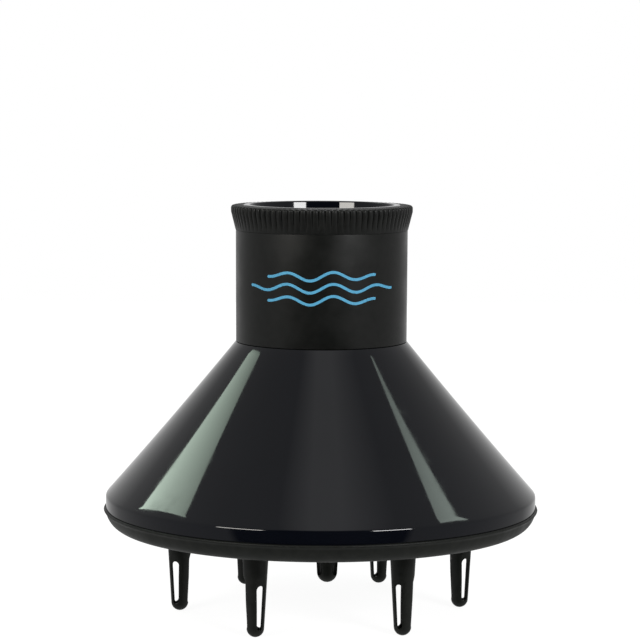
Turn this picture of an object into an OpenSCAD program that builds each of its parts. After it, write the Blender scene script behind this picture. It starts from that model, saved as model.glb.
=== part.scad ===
// Hair dryer diffuser with a twist-to-fit collar.
// +Z is up, the origin is under the centre of the bowl, on the plane that the six outer finger tips stand on.

/* [Bowl] */
// Outside diameter of the glossy band round the bowl
bowl_d = 152; // [146:1:158]
// Height of the conical shell, from the band to the neck
cone_h = 54; // [48:1:60]
// Height of the upright glossy band
band_h = 4.5; // [4:0.5:6]
// Height of the matte rim under the band
rim_h = 6.5; // [6:0.5:8]
// Depth of the dished face, from its edge to its middle
dish_depth = 9.8; // [6:0.2:12]

/* [Fingers] */
// Radius of the ring that the outer fingers stand on
finger_ring_r = 50; // [46:1:52]
// How far the outer fingers reach below the rim
finger_drop = 31; // [26:1:36]
// How much shorter the middle finger reaches
middle_finger_lift = 9.6; // [6:0.2:14]
// How far the middle finger stands to the right of the axis, seen from the front
middle_finger_x = 2.4; // [0:0.1:2.6]
// Turn of the outer fingers round the bowl, counter-clockwise from above, in degrees
finger_turn = 4; // [0:1:59]

/* [Neck] */
// Outside diameter of the neck sleeve
neck_d = 60.4; // [60:0.2:66]
// Height of the neck sleeve
sleeve_h = 39.4; // [36:0.2:44]
// Height of the knurled grip ring
grip_h = 8.6; // [8:0.2:10]
// Number of grooves in the grip ring
knurl_count = 90; // [72:6:108]

/* [Jaws] */
// Turn of the grip ring from open to closed, in degrees
ring_turn = 30; // [24:1:30]
// Swing of each jaw from open to closed, in degrees
jaw_swing = 20; // [12:1:20]

/* [Hidden] */
$fn = 96;
finger_count = 6;
jaw_count = 8;

// Heights, counted from the plane of the finger tips
rim_z = finger_drop;
lip_z = rim_z + rim_h;
crease_z = lip_z + band_h;
seam_z = crease_z + cone_h;
sleeve_top_z = seam_z + sleeve_h;
grip_top_z = sleeve_top_z + grip_h;

// Bowl radii and walls
bowl_r = bowl_d / 2;
shell_t = 2.2;
crease_fillet = 2;
cone_sag = 0.35;
flange_t = 3;
flange_hole_r = 24.5;
rim_r = bowl_r - 4.2;
lip_r = bowl_r + 0.8;
dish_t = 2;
dish_edge_r = bowl_r - 7.4;
dish_mid_z = rim_z + 3.2 + dish_depth;
dish_sphere_r = (dish_edge_r * dish_edge_r + dish_depth * dish_depth) / (2 * dish_depth);
spigot_r = bowl_r - shell_t - 0.15;
spigot_t = 1.6;
spigot_h = 1.4;
hook_count = 6;
hook_span = 12;
hook_barb = 0.45;
hook_barb_h = 0.8;
hook_h = 3;
snap_z = lip_z + 1.8;
snap_h = 1.3;

// Fingers: a round taper with three flats, each with a slot
finger_tip_r = 3;
finger_taper = 0.0575;
finger_wall = 1.1;
flat_tip = 2.93;
flat_top = 3.35;
flat_z = 18.6;
shoulder_h = 2.8;
root_proud = 0.3;
finger_root_h = 4.6;
finger_pitch = 360 / finger_count;
slot_bottom_z = 2.7;
slot_top_z = 18;
slot_w_bottom = 2.2;
slot_w_top = 3;
middle_tip_r = 3.6;
middle_finger_turn = 270;
middle_slot_w = 3.5;
cut_reach = 9;

// Air holes, as [ring radius, number, hole radius, first angle]
air_rings = [[14, 6, 2.8, 30], [25, 12, 2.8, 15], [36, 18, 2.6, 10], [62, 36, 2.2, 5]];
ring_gap_holes = 3;
ring_gap_hole_r = 2.4;
hole_reach = 20;

// Neck radii, from the outside in
neck_r = neck_d / 2;
sleeve_draft = 0.12;
seam_gap = 0.1;
sleeve_in_r = neck_r - 1.2;
rebate_r = neck_r - 0.7;
skirt_out_r = rebate_r - 0.1;
skirt_in_r = skirt_out_r - 0.65;
housing_r = sleeve_in_r - 0.1;
collar_r = skirt_in_r - 0.05;
jaw_room_r = neck_r - 2.6;
jaw_back_r = jaw_room_r - 0.2;
jaw_face_r = jaw_back_r - 1.9;
grip_r = jaw_face_r - 1.2;
pivot_r = jaw_back_r - 1.3;
stop_r = grip_r - 1.3;
housing_bore_r = neck_r - 3.9;
screw_r = neck_r - 2.6;

// Neck heights
seat_z = seam_z + 16;
seat_w = 1.15;
jaw_floor_z = seat_z - 0.4;
floor_t = 3.6;
housing_top_z = sleeve_top_z - 1.4;
washer_t = 0.3;
arm_z = housing_top_z + 0.5;
arm_t = 1.2;
plate_z = arm_z + arm_t + 0.2;
plate_t = 1.8;
plate_top_z = plate_z + plate_t;
cam_top_z = grip_top_z + 0.2;
bezel_lip_z = cam_top_z - 1;
skirt_z = housing_top_z - 2.5;
bead_h = 0.8;
bead_in = 0.32;

// Jaw parts
jaw_arc = 40;
jaw_clear_z = 0.15;
boss_r = 1.25;
pivot_pin_r = 0.8;
pivot_pin_l = 3;
running_gap = 0.05;
crank_l = 4;
crank_start = -101;
drive_pin_r = 0.65;
drive_pin_top_z = plate_top_z - 0.1;
drive_gap = 0.12;
slot_half_w = drive_pin_r + drive_gap;
slot_over = 0.4;
slot_steps = 16;
arm_w = 1.8;
arm_end_r = 1.1;
pad_start = 7;
pad_end = 39.5;
pad_ribs = 6;
pad_rib_share = 0.6;
pad_groove = 0.45;
bond_gap = 0.02;
jaw_pitch = 360 / jaw_count;

// Screws that hold the housing to the shell
screw_count = 4;
screw_shank_r = 0.98;
screw_hole_r = 1.02;
screw_head_r = 1.75;
screw_head_h = 1.5;
screw_l = 8;
recess_l = 1.9;
recess_w = 0.44;
recess_depth = 0.9;

// Grip ring
grip_bottom_r = neck_r + 0.15;
grip_flare = 1.55;
grip_round = 1.3;
knurl_depth_top = 0.85;
knurl_depth_bottom = 0.12;
knurl_half_w = 0.95;
cam_wall_r = skirt_in_r - 1.2;
cam_mouth_r = grip_r + 1.1;
bezel_out_r = cam_mouth_r + 1;
bezel_round = 0.35;
key_count = 6;
key_span = 8;
key_t = 0.9;
key_h = 4.5;
keyway_r = cam_wall_r + key_t + 0.1;

// ---- Shared shapes and curves ----

// Points of an arc about a centre, in the order of its angles
function arc(centre, r, from, to, steps) =
    [for (i = [0:steps]) let (a = from + (to - from) * i / steps) centre + r * [cos(a), sin(a)]];

// Point of a quadratic curve through a and c, pulled towards b
function bend(a, b, c, t) = (1 - t) * (1 - t) * a + 2 * t * (1 - t) * b + t * t * c;

// Height of the underside of the dished face at a radius
function dish_z(r) = dish_mid_z - dish_sphere_r + sqrt(dish_sphere_r * dish_sphere_r - r * r);

// A point turned about the origin
function turned(p, a) = [p[0] * cos(a) - p[1] * sin(a), p[0] * sin(a) + p[1] * cos(a)];

module spin(count, first = 0) {
    for (i = [0:count - 1])
        rotate([0, 0, first + i * 360 / count])
            children();
}

// A wall of constant section, bent round the axis between two angles
module arc_wall(r_in, r_out, z, h, from, to) {
    rotate([0, 0, from])
        rotate_extrude(angle = to - from)
            translate([r_in, z])
                square([r_out - r_in, h]);
}

module tube(r_in, r_out, z, h) {
    translate([0, 0, z])
        difference() {
            cylinder(r = r_out, h = h);
            translate([0, 0, -1])
                cylinder(r = r_in, h = h + 2);
        }
}

// ---- Shell ----

// Outside of the cone at a share of the way down, hollowed a little like a bell
function cone_point(t) =
    [neck_r + (bowl_r - neck_r) * t, seam_z - cone_h * t] - 4 * cone_sag * t * (1 - t) * [0.76, 0.64];

cone_angle = atan2(cone_h, bowl_r - neck_r);
crease_run = crease_fillet * tan((90 - cone_angle) / 2);

function shell_outside() = concat(
    [for (i = [0:11]) cone_point(i / 12)],
    arc([bowl_r - crease_fillet, crease_z - crease_run], crease_fillet, 90 - cone_angle, 0, 5),
    [[bowl_r, lip_z]]
);

function shell_inside() =
    let (in_r = bowl_r - shell_t, drop = shell_t / cos(90 - cone_angle) / tan(cone_angle) * 0.9)
    concat(
        [[in_r, lip_z], [in_r, snap_z - 0.1], [in_r + 0.55, snap_z - 0.1], [in_r + 0.55, snap_z + snap_h],
         [in_r, snap_z + snap_h + 0.4], [in_r, crease_z - 0.9]],
        [for (i = [11:-1:1]) cone_point(i / 12) - shell_t * [sin(cone_angle), cos(cone_angle)]],
        [[cone_point(flange_t / cone_h)[0] - drop, seam_z - flange_t]],
        [[flange_hole_r, seam_z - flange_t], [flange_hole_r, seam_z]]
    );

module cone_shell() {
    color([0.02, 0.02, 0.025])
        difference() {
            rotate_extrude($fn = 180)
                polygon(concat(shell_outside(), shell_inside()));
            spin(screw_count, 45)
                translate([screw_r, 0, seam_z - flange_t - 1])
                    cylinder(r = screw_hole_r, h = flange_t + 2, $fn = 32);
        }
}

// ---- Face and fingers ----

function finger_r(z, tip_r) = tip_r + finger_taper * (z - tip_r);

// Solid body of a finger that stands on its tip at the origin, with a straight root at its top
module finger_body(tip_r, length) {
    root_z = length - finger_root_h;
    root_r = finger_r(root_z, tip_r);
    rotate_extrude($fn = 48)
        polygon(concat(
            arc([0, tip_r], tip_r, -90, 0, 8),
            [[root_r, root_z], [root_r, length], [0, length]]
        ));
}

// Everything outside one flat, and the shoulder that leads down to it
module flat_cut(tip_r) {
    lift = tip_r - finger_tip_r;
    shoulder_r = finger_r(flat_z + shoulder_h, tip_r) + 0.05;
    rotate([90, 0, 0])
        translate([0, 0, -cut_reach])
            linear_extrude(2 * cut_reach)
                polygon([
                    [flat_tip + lift, -1], [flat_top + lift, flat_z], [shoulder_r, flat_z + shoulder_h],
                    [cut_reach, flat_z + shoulder_h], [cut_reach, -1]
                ]);
}

// One tapered slot with round ends, cut from the middle outwards
module slot_cut(w_bottom, w_top) {
    rotate([90, 0, 90])
        linear_extrude(cut_reach)
            polygon(concat(
                arc([0, slot_bottom_z + w_bottom / 2], w_bottom / 2, 180, 360, 8),
                arc([0, slot_top_z - w_top / 2], w_top / 2, 0, 180, 8)
            ));
}

module finger_bore(tip_r, length) {
    low = slot_bottom_z - 0.3;
    high = length - finger_root_h;
    top_r = finger_r(high, tip_r) - finger_wall;
    translate([0, 0, low])
        cylinder(r1 = finger_r(low, tip_r) - finger_wall, r2 = top_r, h = high - low, $fn = 48);
    translate([0, 0, high - 0.01])
        cylinder(r = top_r, h = finger_root_h + 1, $fn = 48);
}

// The hole in the face that a finger's root fills
module root_hole(tip_r, length) {
    translate([0, 0, length - finger_root_h])
        cylinder(r = finger_r(length - finger_root_h, tip_r) + bond_gap, h = hole_reach, $fn = 48);
}

// A hollow slotted finger, with its slots at 60, 180 and 300 degrees from +X
module finger(tip_r, length, w_bottom, w_top) {
    difference() {
        finger_body(tip_r, length);
        spin(3, 60) {
            flat_cut(tip_r);
            slot_cut(w_bottom, w_top);
        }
        finger_bore(tip_r, length);
    }
}

ring_finger_l = dish_z(finger_ring_r - 5) + dish_t + root_proud;
middle_finger_l = dish_z(0) + dish_t + root_proud - middle_finger_lift;

// Section of the dished face with its rim and the spigot that enters the band
function face_section() = concat(
    [for (i = [0:12]) let (r = dish_edge_r * i / 12) [r, dish_z(r)]],
    [[dish_edge_r + 1, rim_z + 1.4], [dish_edge_r + 1.7, rim_z + 0.3], [dish_edge_r + 2.2, rim_z]],
    [for (i = [0:8]) bend([rim_r, rim_z], [bowl_r - 0.8, rim_z + 1.2], [bowl_r + 0.2, lip_z - 1], i / 8)],
    [[lip_r - 0.2, lip_z - 0.95], [lip_r, lip_z - 0.7], [lip_r, lip_z - 0.35], [lip_r - 0.3, lip_z]],
    [[spigot_r, lip_z], [spigot_r, lip_z + spigot_h], [spigot_r - spigot_t, lip_z + spigot_h]],
    [[spigot_r - spigot_t, rim_z + 5.4]],
    [for (i = [12:-1:0]) let (r = dish_edge_r * i / 12) [r, dish_z(r) + dish_t]]
);

// Hooks on the spigot that click into the groove inside the band
module snap_hooks() {
    spin(hook_count, 30) {
        half = hook_span / 2;
        root_z = lip_z + spigot_h / 2;
        stem_in_r = spigot_r - spigot_t + 0.15;
        arc_wall(stem_in_r, spigot_r - 0.1, root_z, lip_z + hook_h - root_z, -half, half);
        arc_wall(spigot_r - 0.3, spigot_r + hook_barb, snap_z + 0.1, hook_barb_h, -half + 1, half - 1);
    }
}

module air_holes() {
    translate([0, 0, rim_z]) {
        for (ring = air_rings)
            spin(ring[1], ring[3])
                translate([ring[0], 0, 0])
                    cylinder(r = ring[2], h = hole_reach, $fn = 24);
        for (k = [1:ring_gap_holes])
            spin(finger_count, finger_turn + k * finger_pitch / (ring_gap_holes + 1))
                translate([finger_ring_r, 0, 0])
                    cylinder(r = ring_gap_hole_r, h = hole_reach, $fn = 24);
    }
}

module face_dish() {
    color([0.05, 0.05, 0.05])
        union() {
            difference() {
                rotate_extrude($fn = 180)
                    polygon(face_section());
                air_holes();
                spin(finger_count, finger_turn)
                    translate([finger_ring_r, 0, 0])
                        root_hole(finger_tip_r, ring_finger_l);
                translate([middle_finger_x, 0, middle_finger_lift])
                    root_hole(middle_tip_r, middle_finger_l);
            }
            snap_hooks();
        }
}

module outer_finger() {
    color([0.05, 0.05, 0.05])
        translate([finger_ring_r, 0, 0])
            finger(finger_tip_r, ring_finger_l, slot_w_bottom, slot_w_top);
}

module middle_finger() {
    color([0.05, 0.05, 0.05])
        translate([middle_finger_x, 0, middle_finger_lift])
            rotate([0, 0, middle_finger_turn])
                finger(middle_tip_r, middle_finger_l, middle_slot_w, middle_slot_w);
}

// ---- Neck ----

module neck_sleeve() {
    low = seam_z + seam_gap;
    high = sleeve_top_z - seam_gap;
    color([0.06, 0.06, 0.06])
        rotate_extrude($fn = 180)
            polygon([
                [sleeve_in_r, low], [neck_r - sleeve_draft - 0.3, low], [neck_r - sleeve_draft, low + 0.3],
                [neck_r, high - 0.15], [neck_r - 0.2, high], [rebate_r, high],
                [rebate_r, skirt_z - 0.4], [sleeve_in_r, skirt_z - 0.4]
            ]);
}

module jaw_housing() {
    groove_z = skirt_z - 0.15;
    groove_r = collar_r - bead_in;
    color([0.12, 0.12, 0.12])
        difference() {
            rotate_extrude($fn = 180)
                polygon([
                    [housing_bore_r, seam_z], [housing_r, seam_z], [housing_r, groove_z - 0.6],
                    [collar_r, groove_z - 0.6], [collar_r, groove_z], [groove_r, groove_z],
                    [groove_r, groove_z + bead_h + 0.3], [collar_r, groove_z + bead_h + 0.3],
                    [collar_r, housing_top_z], [jaw_room_r, housing_top_z], [jaw_room_r, jaw_floor_z],
                    [stop_r + seat_w, jaw_floor_z], [stop_r + seat_w, seat_z], [stop_r, seat_z],
                    [stop_r, jaw_floor_z - floor_t],
                    [housing_bore_r, jaw_floor_z - floor_t - 1.5]
                ]);
            spin(jaw_count)
                translate([pivot_r, 0, jaw_floor_z - pivot_pin_l - 0.2])
                    cylinder(r = pivot_pin_r + running_gap, h = pivot_pin_l + 1, $fn = 32);
            spin(screw_count, 45)
                translate([screw_r, 0, seam_z - 1])
                    cylinder(r = screw_hole_r, h = screw_l - flange_t + 1.4, $fn = 32);
        }
}

module housing_screws() {
    under_z = seam_z - flange_t;
    color([0.7, 0.7, 0.72])
        spin(screw_count, 45)
            translate([screw_r, 0, under_z])
                difference() {
                    union() {
                        cylinder(r = screw_shank_r, h = screw_l, $fn = 32);
                        translate([0, 0, -screw_head_h])
                            cylinder(r1 = screw_head_r - 0.35, r2 = screw_head_r, h = screw_head_h, $fn = 32);
                    }
                    for (a = [0, 90])
                        rotate([0, 0, a])
                            translate([-recess_l / 2, -recess_w / 2, -screw_head_h - 1])
                                cube([recess_l, recess_w, recess_depth + 1]);
                }
}

module friction_washer() {
    color([0.8, 0.8, 0.78])
        tube(jaw_room_r + 0.1, collar_r - 0.05, housing_top_z, washer_t);
}

// ---- Jaws ----

// Plan position of a jaw's drive pin, for the jaw at angle 0, swung by an angle
function crank_pin(swing) = [pivot_r, 0] + crank_l * [cos(crank_start + swing), sin(crank_start + swing)];

module jaw() {
    low = seat_z + jaw_clear_z;
    boss_z = jaw_floor_z + jaw_clear_z;
    body_h = housing_top_z - 0.1 - low;
    pin = crank_pin(0);
    arm_mid_z = arm_z + arm_t / 2;
    color([0.1, 0.1, 0.1])
        union() {
            arc_wall(jaw_face_r, jaw_back_r, low, body_h, 0, jaw_arc);
            translate([pivot_r, 0, boss_z])
                cylinder(r = boss_r, h = arm_z + arm_t - boss_z, $fn = 32);
            translate([pivot_r, 0, boss_z - pivot_pin_l])
                cylinder(r = pivot_pin_r, h = pivot_pin_l + 1, $fn = 32);
            translate([pivot_r, 0, arm_z])
                rotate([0, 0, crank_start])
                    translate([0, -arm_w / 2, 0])
                        cube([crank_l, arm_w, arm_t]);
            translate([pin[0], pin[1], arm_z])
                cylinder(r = arm_end_r, h = arm_t, $fn = 32);
            translate([pin[0], pin[1], arm_mid_z])
                cylinder(r = drive_pin_r, h = drive_pin_top_z - arm_mid_z, $fn = 32);
        }
}

module jaw_pad() {
    low = seat_z + 1;
    pad_h = housing_top_z - 1 - low;
    pitch = (pad_end - pad_start) / pad_ribs;
    pad_base_r = grip_r + pad_groove;
    color([0.25, 0.25, 0.25])
        union() {
            arc_wall(pad_base_r, jaw_face_r - bond_gap, low, pad_h, pad_start, pad_end);
            for (k = [0:pad_ribs - 1])
                let (from = pad_start + (k + (1 - pad_rib_share) / 2) * pitch)
                    arc_wall(grip_r, pad_base_r + 0.2, low, pad_h, from, from + pitch * pad_rib_share);
        }
}

// ---- Twist ring ----

// Centre line of a drive slot in the ring, as the ring turns one way and the jaw swings the other
function slot_line(turn) = turned(crank_pin(turn * jaw_swing / ring_turn), turn);

// Direction in which a slot's centre line runs
function slot_ahead(turn) = slot_line(turn + 0.5) - slot_line(turn - 0.5);

// Point on one side of a slot: side is 1 on the left of its centre line and -1 on the right
function slot_side(turn, side) =
    let (ahead = slot_ahead(turn))
    slot_line(turn) + side * slot_half_w * [-ahead[1], ahead[0]] / norm(ahead);

// Round end of a slot, starting from a direction
function slot_end(turn, from) = arc(slot_line(turn), slot_half_w, from + 22.5, from + 157.5, 6);

// A slot as wide as the pin and its clearance, with round ends
function slot_outline() =
    let (
        last = ring_turn + slot_over,
        step = (last + slot_over) / slot_steps,
        way_in = slot_ahead(-slot_over),
        way_out = slot_ahead(last)
    )
    concat(
        [for (i = [0:slot_steps]) slot_side(i * step - slot_over, -1)],
        slot_end(last, atan2(way_out[1], way_out[0]) - 90),
        [for (i = [slot_steps:-1:0]) slot_side(i * step - slot_over, 1)],
        slot_end(-slot_over, atan2(way_in[1], way_in[0]) + 90)
    );

module cam_ring() {
    step_z = housing_top_z + washer_t + 0.03;
    step_r = collar_r - 0.4;
    step_in_r = bezel_out_r + bond_gap;
    under_lip_z = bezel_lip_z - bond_gap;
    color([0.02, 0.02, 0.03])
        difference() {
            union() {
                rotate_extrude($fn = 180)
                    polygon([
                        [grip_r + 0.3, plate_z], [step_r, plate_z], [step_r, step_z], [skirt_in_r, step_z],
                        [skirt_in_r, skirt_z + bead_h], [skirt_in_r - bead_in, skirt_z + bead_h - 0.1],
                        [skirt_in_r - bead_in, skirt_z + 0.25], [skirt_in_r, skirt_z],
                        [skirt_out_r, skirt_z], [skirt_out_r, plate_top_z], [cam_wall_r, plate_top_z],
                        [cam_wall_r, under_lip_z], [step_in_r, under_lip_z], [step_in_r, plate_top_z],
                        [grip_r + 0.3, plate_top_z]
                    ]);
                spin(key_count, 15)
                    arc_wall(cam_wall_r - 0.5, cam_wall_r + key_t, plate_top_z - 0.5, key_h, 0, key_span);
            }
            spin(jaw_count)
                translate([0, 0, plate_z - 1])
                    linear_extrude(plate_t + 2)
                        polygon(slot_outline());
        }
}

// Glossy lining of the mouth, with a rounded lip that covers the cam ring's wall
module mouth_bezel() {
    edge = bezel_round;
    color([0.02, 0.02, 0.03])
        rotate_extrude($fn = 180)
            polygon(concat(
                [[grip_r + 0.3, plate_top_z + bond_gap], [bezel_out_r, plate_top_z + bond_gap],
                 [bezel_out_r, bezel_lip_z], [cam_wall_r, bezel_lip_z]],
                arc([cam_wall_r - edge, cam_top_z - edge], edge, 0, 90, 4),
                arc([cam_mouth_r + edge, cam_top_z - edge], edge, 90, 180, 4),
                [[grip_r + 0.3, plate_top_z + 2]]
            ));
}

function grip_section() =
    let (low = sleeve_top_z + 0.1, wide = grip_bottom_r + grip_flare, ledge = plate_top_z + 0.02)
    concat(
        [[skirt_out_r + 0.03, low], [grip_bottom_r, low]],
        arc([wide - grip_round, grip_top_z - grip_round], grip_round, 0, 90, 5),
        [[cam_wall_r + 0.03, grip_top_z], [cam_wall_r + 0.03, ledge], [skirt_out_r + 0.03, ledge]]
    );

module knurl_cut() {
    low_r = grip_bottom_r - knurl_depth_bottom;
    high_r = grip_bottom_r + grip_flare - knurl_depth_top;
    translate([low_r, 0, sleeve_top_z - 0.5])
        rotate([0, atan2(high_r - low_r, grip_h), 0])
            linear_extrude(grip_h + 3)
                polygon([[0, 0], [2.4, knurl_half_w], [2.4, -knurl_half_w]]);
}

module grip_ring() {
    color([0.05, 0.05, 0.05])
        difference() {
            rotate_extrude($fn = 180)
                polygon(grip_section());
            spin(knurl_count)
                knurl_cut();
            spin(key_count, 15)
                translate([0, 0, plate_z])
                    arc_wall(cam_wall_r - 0.5, keyway_r, 0, key_h + plate_t, -0.3, key_span + 0.3);
        }
}

// ---- Nodes ----

cone_shell();
face_dish();
middle_finger();
neck_sleeve();
jaw_housing();
housing_screws();
friction_washer();
cam_ring();
grip_ring();
mouth_bezel();
for (i = [1:finger_count])
    rotate([0, 0, finger_turn + (i - 1) * finger_pitch])
            outer_finger();
for (i = [1:jaw_count]) {
    rotate([0, 0, (i - 1) * jaw_pitch]) jaw();
    rotate([0, 0, (i - 1) * jaw_pitch]) jaw_pad();
}
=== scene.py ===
# The hair dryer diffuser's looks: smooth mouldings, procedural plastics and a white studio.
import math

import bmesh
import bpy
from mathutils import Matrix, Vector

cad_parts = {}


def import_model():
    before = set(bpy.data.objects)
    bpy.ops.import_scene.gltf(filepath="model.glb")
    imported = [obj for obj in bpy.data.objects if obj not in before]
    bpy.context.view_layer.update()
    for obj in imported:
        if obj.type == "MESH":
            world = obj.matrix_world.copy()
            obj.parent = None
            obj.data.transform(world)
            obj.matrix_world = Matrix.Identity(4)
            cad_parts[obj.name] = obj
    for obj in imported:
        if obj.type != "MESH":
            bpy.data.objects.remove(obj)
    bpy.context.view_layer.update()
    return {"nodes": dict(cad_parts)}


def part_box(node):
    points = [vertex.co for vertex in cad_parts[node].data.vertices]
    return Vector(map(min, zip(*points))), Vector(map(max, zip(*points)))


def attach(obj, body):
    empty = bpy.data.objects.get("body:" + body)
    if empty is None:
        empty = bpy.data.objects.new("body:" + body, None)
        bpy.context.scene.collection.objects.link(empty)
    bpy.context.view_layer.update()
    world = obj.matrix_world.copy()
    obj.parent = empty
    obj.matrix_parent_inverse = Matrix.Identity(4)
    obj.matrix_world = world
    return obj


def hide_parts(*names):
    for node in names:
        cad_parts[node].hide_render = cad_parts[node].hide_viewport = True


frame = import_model()

MM = 0.001


# ---- Sizes, in millimetres, read from the frame ----

def node_box(node):
    low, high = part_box(node)
    return low / MM, high / MM


def outer_radius(node):
    return node_box(node)[1].x


SEAM_Z = node_box("cone_shell")[1].z
LIP_Z = node_box("cone_shell")[0].z
BOWL_R = outer_radius("cone_shell")
NECK_R = outer_radius("neck_sleeve")
BAND_H = 4.5
CREASE_Z = LIP_Z + BAND_H
CONE_H = SEAM_Z - CREASE_Z
CONE_SAG = 0.35
SHELL_T = 2.2
SAG_IN, SAG_DOWN = 0.76, 0.64
CONE_POINTS = 24
FLANGE_T, FLANGE_HOLE_R, FLANGE_EDGE_R = 3, 24.5, 30.5
GROOVE_FOOT, GROOVE_TOP, GROOVE_DEPTH = 1.7, 3.1, 0.55
SLEEVE_T, SLEEVE_DRAFT = 1.2, 0.12
MOUTH_R, THROAT_R = 25.4, 24.6
GRIP_FOOT_R, GRIP_INNER_R = 30.3, 29.43
GRIP_LAP, GRIP_SHOULDER = 0.14, 2.3
CAM_PLATE_RISE = 6.22


# ---- Mesh helpers ----

def link(obj):
    bpy.context.scene.collection.objects.link(obj)
    return obj


def finish_mesh(mesh, sharp_deg=35):
    """Smooth shading, with edges sharper than sharp_deg kept crisp."""
    mesh.shade_smooth()
    mesh.set_sharp_from_angle(angle=math.radians(sharp_deg))
    return mesh


def mesh_piece(name, verts_mm, faces, material, sharp_deg=35):
    mesh = bpy.data.meshes.new(name)
    mesh.from_pydata([Vector(v) * MM for v in verts_mm], [], faces)
    work = bmesh.new()
    work.from_mesh(mesh)
    bmesh.ops.remove_doubles(work, verts=work.verts, dist=1e-7)
    bmesh.ops.recalc_face_normals(work, faces=work.faces)
    work.to_mesh(mesh)
    work.free()
    mesh.materials.append(material)
    return link(bpy.data.objects.new(name, finish_mesh(mesh, sharp_deg)))


def rounded(corners, steps=5):
    """Closed outline from [r, z, fillet] corners, each corner rounded by its fillet radius."""
    out = []
    count = len(corners)
    for i, (r, z, fillet) in enumerate(corners):
        here = Vector((r, z))
        before = Vector(corners[i - 1][:2]) - here
        after = Vector(corners[(i + 1) % count][:2]) - here
        if fillet <= 0:
            out.append(here)
            continue
        half = before.angle(after) / 2
        reach = min(fillet / math.tan(half), 0.49 * before.length, 0.49 * after.length)
        start, end = here + before.normalized() * reach, here + after.normalized() * reach
        for k in range(steps + 1):
            t = k / steps
            out.append(start.lerp(here, t).lerp(here.lerp(end, t), t))
    return out


def lathe(name, outline, material, segments=288, pressed=None, sharp_deg=35):
    """Turns a closed (r, z) outline round the axis. pressed(angle, index) is how deep a point is pressed."""
    n = len(outline)
    outward = []
    for i in range(n):
        along = (Vector(outline[(i + 1) % n]) - Vector(outline[i - 1])).normalized()
        outward.append((along.y, -along.x))
    verts = []
    for s in range(segments):
        angle = 2 * math.pi * s / segments
        for i, (r, z) in enumerate(outline):
            depth = pressed(angle, i) if pressed else 0
            r, z = r - depth * outward[i][0], z - depth * outward[i][1]
            verts.append((r * math.cos(angle), r * math.sin(angle), z))
    faces = [
        (s * n + i, s * n + (i + 1) % n, (s + 1) % segments * n + (i + 1) % n, (s + 1) % segments * n + i)
        for s in range(segments) for i in range(n)
    ]
    return mesh_piece(name, verts, faces, material, sharp_deg)


def applied(obj):
    """Bakes the object's modifiers into its mesh."""
    graph = bpy.context.evaluated_depsgraph_get()
    mesh = bpy.data.meshes.new_from_object(obj.evaluated_get(graph))
    obj.modifiers.clear()
    obj.data = mesh
    return obj


def cad_copy(node, material):
    """A free copy of a CAD node's mesh, with its split vertices joined again."""
    mesh = frame["nodes"][node].data.copy()
    work = bmesh.new()
    work.from_mesh(mesh)
    bmesh.ops.remove_doubles(work, verts=work.verts, dist=1e-6)
    bmesh.ops.dissolve_limit(work, angle_limit=math.radians(0.5), verts=work.verts, edges=work.edges)
    work.to_mesh(mesh)
    work.free()
    mesh.materials.clear()
    mesh.materials.append(material)
    return link(bpy.data.objects.new(node + "_draft", mesh))


def taken_shape(obj, sharp_deg):
    """Mesh of a draft with its modifiers applied. The draft itself goes."""
    applied(obj)
    shape = finish_mesh(obj.data, sharp_deg)
    bpy.data.objects.remove(obj)
    return shape


def moulded(node, voxel_mm, keep, smooth_passes, material):
    """Mesh of a CAD node as it leaves the mould: every edge a little rounded."""
    obj = cad_copy(node, material)
    remesh = obj.modifiers.new("remesh", "REMESH")
    remesh.mode = "VOXEL"
    remesh.voxel_size = voxel_mm * MM
    smooth = obj.modifiers.new("smooth", "SMOOTH")
    smooth.factor = 0.5
    smooth.iterations = smooth_passes
    thin = obj.modifiers.new("thin", "DECIMATE")
    thin.ratio = keep
    return taken_shape(obj, 60)


def eased(node, round_mm, material):
    """Mesh of a CAD node with its hard edges rounded and its long edges kept straight."""
    obj = cad_copy(node, material)
    ease = obj.modifiers.new("ease", "BEVEL")
    ease.width = round_mm * MM
    ease.segments = 2
    ease.limit_method = "ANGLE"
    ease.angle_limit = math.radians(38)
    ease.use_clamp_overlap = False
    return taken_shape(obj, 50)


# ---- Materials ----

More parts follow.
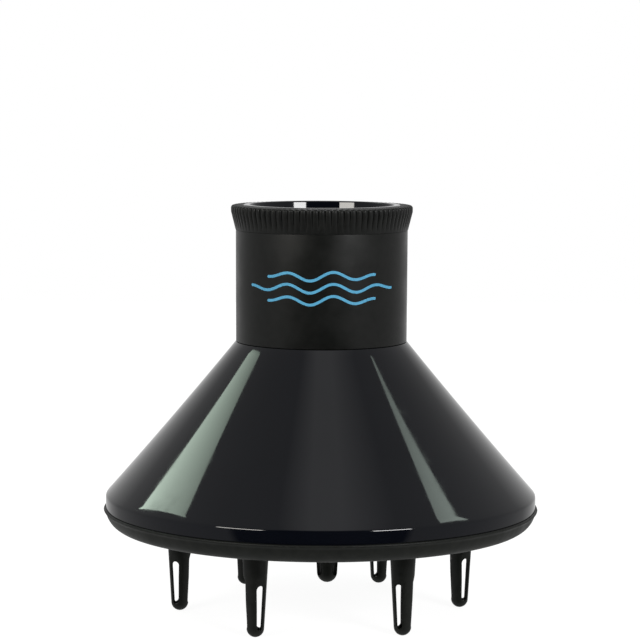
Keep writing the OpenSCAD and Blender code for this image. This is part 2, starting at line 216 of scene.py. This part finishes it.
class Tree:
    """A material's node tree, with the few building blocks that the plastics share."""

    def __init__(self, name, **sockets):
        self.material = bpy.data.materials.new(name)
        self.material.use_nodes = True
        self.nodes = self.material.node_tree.nodes
        self.links = self.material.node_tree.links
        self.shader = self.nodes["Principled BSDF"]
        for socket, value in sockets.items():
            self.shader.inputs[socket.replace("_", " ")].default_value = value
        self.place = self.nodes.new("ShaderNodeTexCoord").outputs["Object"]

    def noise(self, grain_mm, detail=2.0, roughness=0.5, stretch=(1, 1, 1)):
        mapping = self.nodes.new("ShaderNodeMapping")
        mapping.inputs["Scale"].default_value = stretch
        self.links.new(self.place, mapping.inputs["Vector"])
        noise = self.nodes.new("ShaderNodeTexNoise")
        noise.inputs["Scale"].default_value = 1 / (grain_mm * MM)
        noise.inputs["Detail"].default_value = detail
        noise.inputs["Roughness"].default_value = roughness
        self.links.new(mapping.outputs["Vector"], noise.inputs["Vector"])
        return noise.outputs["Fac"]

    def ranged(self, value, low, high, from_low=0.3, from_high=0.7):
        node = self.nodes.new("ShaderNodeMapRange")
        self.links.new(value, node.inputs["Value"])
        limits = {"From Min": from_low, "From Max": from_high, "To Min": low, "To Max": high}
        for socket, limit in limits.items():
            node.inputs[socket].default_value = limit
        return node.outputs["Result"]

    def blended(self, factor, first, second):
        node = self.nodes.new("ShaderNodeMix")
        node.data_type = "RGBA"
        self.links.new(factor, node.inputs["Factor"])
        node.inputs["A"].default_value = (*first, 1)
        node.inputs["B"].default_value = (*second, 1)
        return node.outputs["Result"]

    def bump(self, height, depth_mm, under=None, strength=1.0):
        node = self.nodes.new("ShaderNodeBump")
        node.inputs["Strength"].default_value = strength
        node.inputs["Distance"].default_value = depth_mm * MM
        self.links.new(height, node.inputs["Height"])
        if under:
            self.links.new(under, node.inputs["Normal"])
        return node.outputs["Normal"]

    def wire(self, colour=None, roughness=None, normal=None):
        for socket, source in (("Base Color", colour), ("Roughness", roughness), ("Normal", normal)):
            if source:
                self.links.new(source, self.shader.inputs[socket])
        return self.material


def plastic(name, dark, light, rough, grain_mm, grain_depth_mm, level=0.5):
    """Textured moulded plastic: fine grain, slow patches of shade and sheen."""
    tree = Tree(name, Specular_IOR_Level=level)
    patches = tree.noise(9, 3)
    colour = tree.blended(tree.ranged(tree.noise(2.5, 4), 0, 1), dark, light)
    roughness = tree.ranged(patches, rough[0], rough[1])
    normal = tree.bump(tree.noise(grain_mm, 3, 0.6), grain_depth_mm)
    return tree.wire(colour, roughness, normal)


def gloss(name, dark, light, wave_depth_mm):
    """Polished plastic: a mirror finish with slow waviness, light smears and hairlines."""
    tree = Tree(name, IOR=1.5)
    colour = tree.blended(tree.ranged(tree.noise(30, 2), 0, 1), dark, light)
    smears = tree.noise(6, 5, 0.65, stretch=(1, 1, 0.35))
    roughness = tree.ranged(smears, 0.035, 0.09, 0.42, 0.72)
    waves = tree.bump(tree.noise(22, 1, stretch=(1, 1, 0.4)), wave_depth_mm)
    hairlines = tree.noise(0.35, 1, stretch=(1, 1, 0.06))
    return tree.wire(colour, roughness, tree.bump(hairlines, 0.0006, waves))


SHELL_GLOSS = gloss("shell_gloss", (0.0016, 0.0022, 0.0042), (0.0026, 0.0032, 0.0056), 0.02)
BEZEL_GLOSS = gloss("bezel_gloss", (0.0018, 0.0026, 0.0055), (0.003, 0.004, 0.0075), 0.006)
FACE_MATTE = plastic(
    "face_matte", (0.005, 0.006, 0.0048), (0.0085, 0.0095, 0.008), (0.40, 0.52), 0.22, 0.012, 0.3
)
SLEEVE_COAT = plastic(
    "sleeve_coat", (0.0035, 0.004, 0.0034), (0.006, 0.0065, 0.0058), (0.30, 0.40), 0.16, 0.010, 0.42
)
KNURL_MATTE = plastic(
    "knurl_matte", (0.005, 0.0055, 0.005), (0.0085, 0.009, 0.0082), (0.36, 0.48), 0.18, 0.012, 0.34
)
HOUSING_NYLON = plastic("housing_nylon", (0.03, 0.03, 0.03), (0.045, 0.045, 0.044), (0.42, 0.6), 0.3, 0.02)
JAW_NYLON = plastic("jaw_nylon", (0.022, 0.022, 0.023), (0.034, 0.034, 0.034), (0.35, 0.5), 0.25, 0.012)
PAD_RUBBER = plastic(
    "pad_rubber", (0.05, 0.05, 0.052), (0.075, 0.075, 0.076), (0.65, 0.85), 0.35, 0.03, 0.35
)
WASHER_PTFE = plastic("washer_ptfe", (0.72, 0.72, 0.69), (0.8, 0.8, 0.77), (0.35, 0.5), 0.4, 0.008)


def screw_steel():
    tree = Tree("screw_steel", Metallic=1.0)
    colour = tree.blended(tree.ranged(tree.noise(0.8, 3), 0, 1), (0.48, 0.48, 0.5), (0.62, 0.62, 0.63))
    normal = tree.bump(tree.noise(0.12, 2), 0.004)
    return tree.wire(colour, tree.ranged(tree.noise(0.5, 2), 0.22, 0.4), normal)


def print_ink():
    tree = Tree("print_ink", Specular_IOR_Level=0.4)
    colour = tree.blended(tree.ranged(tree.noise(1.2, 3), 0, 1), (0.085, 0.36, 0.58), (0.105, 0.42, 0.66))
    normal = tree.bump(tree.noise(0.15, 2), 0.006)
    return tree.wire(colour, tree.ranged(tree.noise(3, 2), 0.4, 0.52), normal)


SCREW_STEEL = screw_steel()
PRINT_INK = print_ink()


# ---- Shell: one glossy moulding from the neck to the band ----

def cone_point(t):
    """Outside of the cone at a share of the way down, a little hollowed like a bell."""
    sag = 4 * CONE_SAG * t * (1 - t)
    return NECK_R + (BOWL_R - NECK_R) * t - SAG_IN * sag, SEAM_Z - CONE_H * t - SAG_DOWN * sag


def shell_outline():
    slope = math.atan2(CONE_H, BOWL_R - NECK_R)
    inward = Vector((-math.sin(slope), -math.cos(slope))) * SHELL_T
    inner_r = BOWL_R - SHELL_T
    flange_z = SEAM_Z - FLANGE_T
    groove_low, groove_high = LIP_Z + GROOVE_FOOT, LIP_Z + GROOVE_TOP
    cone = [cone_point(i / CONE_POINTS) for i in range(1, CONE_POINTS)]
    corners = [(NECK_R, SEAM_Z, 0.3)]
    corners += [(r, z, 0) for r, z in cone]
    corners += [(BOWL_R, CREASE_Z + 0.02, 1.8), (BOWL_R, LIP_Z, 0.25), (inner_r, LIP_Z, 0.25)]
    corners += [(inner_r, groove_low, 0.1), (inner_r + GROOVE_DEPTH, groove_low, 0.1)]
    corners += [(inner_r + GROOVE_DEPTH, groove_high, 0.1), (inner_r, groove_high + 0.4, 0.2)]
    corners += [(inner_r, CREASE_Z - 0.9, 1)]
    corners += [(r + inward.x, z + inward.y, 0) for r, z in reversed(cone[1:])]
    corners += [(FLANGE_EDGE_R, flange_z, 0.5), (FLANGE_HOLE_R, flange_z, 0.3), (FLANGE_HOLE_R, SEAM_Z, 0.3)]
    return rounded(corners)


shell = lathe("shell", shell_outline(), SHELL_GLOSS)
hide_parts("cone_shell")
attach(shell, "diffuser")


# ---- Face and fingers ----

def face_piece(name, node, shape):
    piece = link(bpy.data.objects.new(name, shape))
    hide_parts(node)
    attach(piece, "diffuser")


RING_FINGERS = 6
FINGER_EASE = 0.14

face_piece("face_moulding", "face_dish", moulded("face_dish", 0.4, 0.5, 2, FACE_MATTE))
face_piece("middle_finger_moulding", "middle_finger", eased("middle_finger", FINGER_EASE, FACE_MATTE))
ring_finger = eased("finger_1", FINGER_EASE, FACE_MATTE)
for i in range(RING_FINGERS):
    shape = ring_finger.copy()
    shape.transform(Matrix.Rotation(2 * math.pi * i / RING_FINGERS, 4, "Z"))
    face_piece(f"finger_{i + 1}_moulding", f"finger_{i + 1}", shape)


# ---- Neck ----

def sleeve_outline():
    low, high = node_box("neck_sleeve")
    inner = NECK_R - SLEEVE_T
    rebate_r, rebate_z = NECK_R - 0.7, high.z - 4.2
    return rounded([
        (inner, low.z, 0.2), (NECK_R - SLEEVE_DRAFT, low.z, 0.35),
        (NECK_R, high.z, 0.1), (rebate_r, high.z, 0.1),
        (rebate_r, rebate_z, 0.1), (inner, rebate_z, 0.2),
    ])


sleeve = lathe("sleeve", sleeve_outline(), SLEEVE_COAT)
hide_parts("neck_sleeve")
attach(sleeve, "diffuser")

KNURLS = 90
KNURL_DEPTH = 0.85
KNURL_FULLNESS = 0.985


def knurled_grip():
    """The flared grip ring. Its ribs' narrow grooves fade out at its foot and at the gloss ring."""
    low, high = node_box("grip_ring")
    inner_low, inner_high = GRIP_INNER_R, outer_radius("mouth_bezel") + 0.03
    ledge_z = node_box("cam_ring")[0].z + CAM_PLATE_RISE
    wide, foot_z = high.x, low.z - GRIP_LAP
    flare = [
        (GRIP_FOOT_R + (wide - GRIP_FOOT_R) * t, foot_z + (high.z - GRIP_SHOULDER - foot_z) * t)
        for t in [i / 12 for i in range(13)]
    ]
    top = rounded([(*flare[-1], 0), (wide + 0.05, high.z, 1.9), (inner_high + 0.3, high.z, 0)], 8)[1:-1]
    land = inner_high + 0.3
    across = [Vector((top[-1][0] + (land - top[-1][0]) * i / 6, high.z)) for i in range(1, 7)]
    outside = [Vector(p) for p in flare] + top + across
    outline = outside + [Vector((inner_high + 0.12, high.z)), Vector((inner_high, high.z - 0.12)),
                         Vector((inner_high, ledge_z)), Vector((inner_low, ledge_z)),
                         Vector((inner_low, foot_z))]
    ribbed = len(outside)

    def depth(i):
        """Groove depth at a point: none at the foot, full at the shoulder, none at the gloss ring."""
        r, z = outline[i]
        up = min(1, max(0, (z - low.z - 0.3) / (high.z - low.z - 2.6)))
        over = min(1, max(0, (r - land) / 2.4)) ** 0.6
        return KNURL_DEPTH * up ** 0.8 * over

    depths = [depth(i) if i < ribbed else 0 for i in range(len(outline))]

    def groove(angle, i):
        off_rib = (KNURLS * angle / (2 * math.pi)) % 1 * 2 - 1
        return depths[i] * (1 - math.sqrt(1 - (KNURL_FULLNESS * off_rib) ** 2))

    return lathe("grip", outline, KNURL_MATTE, segments=KNURLS * 16, pressed=groove, sharp_deg=60)


grip = knurled_grip()
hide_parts("grip_ring")
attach(grip, "twist_ring")


def bezel_outline():
    low, high = node_box("mouth_bezel")
    lip_z = high.z - 1
    return rounded([
        (THROAT_R, low.z, 0.2), (MOUTH_R + 1, low.z, 0.2), (MOUTH_R + 1, lip_z, 0.1), (high.x, lip_z, 0.15),
        (high.x, high.z, 0.5), (MOUTH_R, high.z, 0.6), (THROAT_R, low.z + 2, 0.8),
    ], 8)


bezel = lathe("bezel", bezel_outline(), BEZEL_GLOSS)
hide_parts("mouth_bezel")
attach(bezel, "twist_ring")


# ---- Printed mark: three plain waves of air, with no letters ----

PRINT_LIFT = 0.02
PRINT_T = 0.03
PRINT_STROKE = 0.95
WAVE_LENGTH, WAVE_AMPLITUDE = 16.5, 1.55


def print_stroke(name, line, width):
    """A flat, round-ended stroke along a (round, up) line in millimetres, wrapped on the sleeve."""
    low, high = node_box("neck_sleeve")
    points = [Vector(p) for p in line]
    sides = [[], []]
    for i, p in enumerate(points):
        along = (points[min(i + 1, len(points) - 1)] - points[max(i - 1, 0)]).normalized()
        across = Vector((-along.y, along.x)) * width / 2
        sides[0].append(p + across)
        sides[1].append(p - across)

    def cap(centre, start):
        return [
            centre + Vector((math.cos(start + a), math.sin(start + a))) * width / 2
            for a in [math.pi * k / 6 for k in range(1, 6)]
        ]

    first = points[0] - points[1]
    last = points[-1] - points[-2]
    outline = sides[1] + cap(points[-1], math.atan2(last.y, last.x) - math.pi / 2)
    outline += sides[0][::-1] + cap(points[0], math.atan2(first.y, first.x) - math.pi / 2)
    verts = []
    for lift in (PRINT_LIFT, PRINT_LIFT + PRINT_T):
        for p in outline:
            share = (p.y - low.z) / (high.z - low.z)
            r = NECK_R - SLEEVE_DRAFT * (1 - share) + lift
            angle = p.x / NECK_R - math.pi / 2
            verts.append((r * math.cos(angle), r * math.sin(angle), p.y))
    n = len(outline)
    strip = len(points)
    caps = 5
    right, left = list(range(strip)), list(range(2 * strip + caps - 1, strip + caps - 1, -1))
    quads = [(right[i], right[i + 1], left[i + 1], left[i]) for i in range(strip - 1)]
    end_cap = (right[-1], *range(strip, strip + caps), left[-1])
    start_cap = (left[0], *range(2 * strip + caps, n), right[0])
    flat = quads + [end_cap, start_cap]
    faces = flat + [tuple(i + n for i in f) for f in flat]
    faces += [(i, (i + 1) % n, (i + 1) % n + n, i + n) for i in range(n)]
    return mesh_piece(name, verts, faces, PRINT_INK)


def wave_line(centre_z, reach):
    steps = 96
    line = []
    for i in range(steps + 1):
        u = -reach + 2 * reach * i / steps
        swell = math.cos(math.pi / 2 * u / (reach * 1.15)) ** 0.8
        line.append((u, centre_z + WAVE_AMPLITUDE * swell * math.sin(2 * math.pi * u / WAVE_LENGTH)))
    return line


MARK_Z = SEAM_Z + 21
for i, (offset, reach) in enumerate(((4.1, 19.5), (0, 27.5), (-4.1, 19.5))):
    stroke = print_stroke(f"print_wave_{i + 1}", wave_line(MARK_Z + offset, reach), PRINT_STROKE)
    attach(stroke, "diffuser")


# ---- Finishes of the CAD parts that show inside ----

def finish_node(node, material):
    obj = frame["nodes"][node]
    obj.data.materials.clear()
    obj.data.materials.append(material)


finish_node("jaw_housing", HOUSING_NYLON)
finish_node("cam_ring", HOUSING_NYLON)
finish_node("housing_screws", SCREW_STEEL)
finish_node("friction_washer", WASHER_PTFE)
for i in range(1, 9):
    finish_node(f"jaw_{i}", JAW_NYLON)
    finish_node(f"jaw_pad_{i}", PAD_RUBBER)


# ---- Studio ----

def aimed(obj, location, target):
    obj.location = location
    obj.rotation_euler = (Vector(target) - Vector(location)).to_track_quat("-Z", "Y").to_euler()
    return link(obj)


def softbox(name, location, target, width, height, radiance, colour=(1, 1, 1)):
    lamp = bpy.data.lights.new(name, "AREA")
    lamp.shape = "RECTANGLE"
    lamp.size, lamp.size_y = width, height
    lamp.energy = radiance * math.pi * width * height
    lamp.color = colour
    return aimed(bpy.data.objects.new(name, lamp), location, target)


def floor():
    """A pale floor that reflections leave out."""
    tree = Tree("floor_white", Roughness=0.9, Specular_IOR_Level=0.1, Emission_Strength=0.93,
                Emission_Color=(1, 1, 1, 1))
    dark, light = (0.26, 0.26, 0.26), (0.28, 0.28, 0.28)
    paint = tree.wire(tree.blended(tree.ranged(tree.noise(40, 2), 0, 1), dark, light))
    side, front, back = 0.9, -0.5, 1.2
    mesh = bpy.data.meshes.new("floor")
    corners = [(-side, front, 0), (side, front, 0), (side, back, 0), (-side, back, 0)]
    mesh.from_pydata(corners, [], [(0, 1, 2, 3)])
    mesh.materials.append(paint)
    obj = link(bpy.data.objects.new("floor", mesh))
    obj.visible_glossy = False


def card(name, corners, dim, bright, toward, colour):
    """A lit card out of the camera's sight, whose light grows from dim to bright in one direction."""
    paint = bpy.data.materials.new(name)
    paint.use_nodes = True
    nodes, links = paint.node_tree.nodes, paint.node_tree.links
    nodes.clear()
    reach = [Vector(c).dot(Vector(toward)) for c in corners]
    along = nodes.new("ShaderNodeVectorMath")
    along.operation = "DOT_PRODUCT"
    along.inputs[1].default_value = toward
    links.new(nodes.new("ShaderNodeTexCoord").outputs["Object"], along.inputs[0])
    level = nodes.new("ShaderNodeMapRange")
    sockets = ("From Min", "From Max", "To Min", "To Max")
    for socket, value in zip(sockets, (min(reach), max(reach), dim, bright)):
        level.inputs[socket].default_value = value
    links.new(along.outputs["Value"], level.inputs["Value"])
    light = nodes.new("ShaderNodeEmission")
    light.inputs["Color"].default_value = (*colour, 1)
    links.new(level.outputs["Result"], light.inputs["Strength"])
    out = nodes.new("ShaderNodeOutputMaterial")
    links.new(light.outputs["Emission"], out.inputs["Surface"])
    mesh = bpy.data.meshes.new(name)
    mesh.from_pydata(corners, [], [tuple(range(len(corners)))])
    mesh.materials.append(paint)
    obj = link(bpy.data.objects.new(name, mesh))
    obj.visible_camera = False


def ramp(nodes, links, value, stops, colour=(1, 1, 1)):
    """Levels over a direction's component, from -1 to 1."""
    half = nodes.new("ShaderNodeMapRange")
    half.inputs["From Min"].default_value = -1
    links.new(value, half.inputs["Value"])
    node = nodes.new("ShaderNodeValToRGB")
    while len(node.color_ramp.elements) < len(stops):
        node.color_ramp.elements.new(0.5)
    for element, (place, level) in zip(node.color_ramp.elements, stops):
        element.position = (place + 1) / 2
        element.color = (*(level * c for c in colour), 1)
    links.new(half.outputs["Result"], node.inputs["Fac"])
    return node.outputs["Color"]


def world():
    """White to the eye. As light: dark in front, dim at the sides, brighter behind, a soft strip overhead."""
    shade = bpy.data.worlds.new("studio")
    shade.use_nodes = True
    nodes, links = shade.node_tree.nodes, shade.node_tree.links
    nodes.clear()
    split = nodes.new("ShaderNodeSeparateXYZ")
    links.new(nodes.new("ShaderNodeTexCoord").outputs["Generated"], split.inputs["Vector"])
    round_about = ramp(nodes, links, split.outputs["Y"], [
        (-1, 0.015), (-0.70, 0.02), (-0.64, 0.28), (0, 0.32), (0.7, 0.37), (0.9, 0.62), (1, 0.75),
    ])
    strip = ramp(nodes, links, split.outputs["X"], [(-0.26, 0), (-0.06, 0.36), (0.14, 0.36), (0.44, 0)])
    overhead = ramp(nodes, links, split.outputs["Z"], [(0.6, 0), (0.85, 1)])
    cut = nodes.new("ShaderNodeMix")
    cut.data_type = "RGBA"
    cut.blend_type = "MULTIPLY"
    cut.inputs["Factor"].default_value = 1
    links.new(strip, cut.inputs["A"])
    links.new(overhead, cut.inputs["B"])
    both = nodes.new("ShaderNodeAddShader")
    for i, level in enumerate((round_about, cut.outputs["Result"])):
        light = nodes.new("ShaderNodeBackground")
        links.new(level, light.inputs["Color"])
        links.new(light.outputs["Background"], both.inputs[i])
    seen = nodes.new("ShaderNodeBackground")
    seen.inputs["Color"].default_value = (1, 1, 1, 1)
    choose = nodes.new("ShaderNodeMixShader")
    links.new(nodes.new("ShaderNodeLightPath").outputs["Is Camera Ray"], choose.inputs["Fac"])
    links.new(both.outputs["Shader"], choose.inputs[1])
    links.new(seen.outputs["Background"], choose.inputs[2])
    links.new(choose.outputs["Shader"], nodes.new("ShaderNodeOutputWorld").inputs["Surface"])
    bpy.context.scene.world = shade


floor()
world()
card("card_left", [(-0.82, 0.53, 0.82), (-0.89, 0.62, 0.60), (-0.85, 0.11, 0.90), (-0.82, 0.32, 0.925)],
     1.9, 7.2, (0, -0.276, -0.961), (0.82, 1.0, 0.85))
card("card_right", [(0.74, 0.035, 1.055), (0.76, 0.06, 1.03), (0.90, 0.20, 0.83), (0.80, -0.04, 0.95)],
     2.1, 4.4, (0, 0, -1), (0.86, 1.0, 0.91))
AIM = (0, 0, 0.14)
softbox("softbox_left", (-0.75, -0.80, 0.50), AIM, 0.5, 0.2, 13.0, (1.0, 0.97, 0.92))
softbox("softbox_right", (0.68, -0.87, 0.50), AIM, 0.41, 0.2, 20.0)


# ---- Camera: in front, a little above the bowl, with a long lens ----

PITCH_DOWN, ROLL = 5.62, 0.25
CAMERA_X, CAMERA_Y, CAMERA_RISE = -0.0005, -0.8425, 0.0903
camera = bpy.data.cameras.new("camera")
camera.lens = 135
camera.sensor_width = 36
camera_obj = link(bpy.data.objects.new("camera", camera))
camera_obj.matrix_world = (
    Matrix.Translation((CAMERA_X, CAMERA_Y, SEAM_Z * MM + CAMERA_RISE))
    @ Matrix.Rotation(math.radians(90 - PITCH_DOWN), 4, "X")
    @ Matrix.Rotation(math.radians(ROLL), 4, "Z")
)
bpy.context.scene.camera = camera_obj
bpy.context.scene.view_settings.view_transform = "Standard"
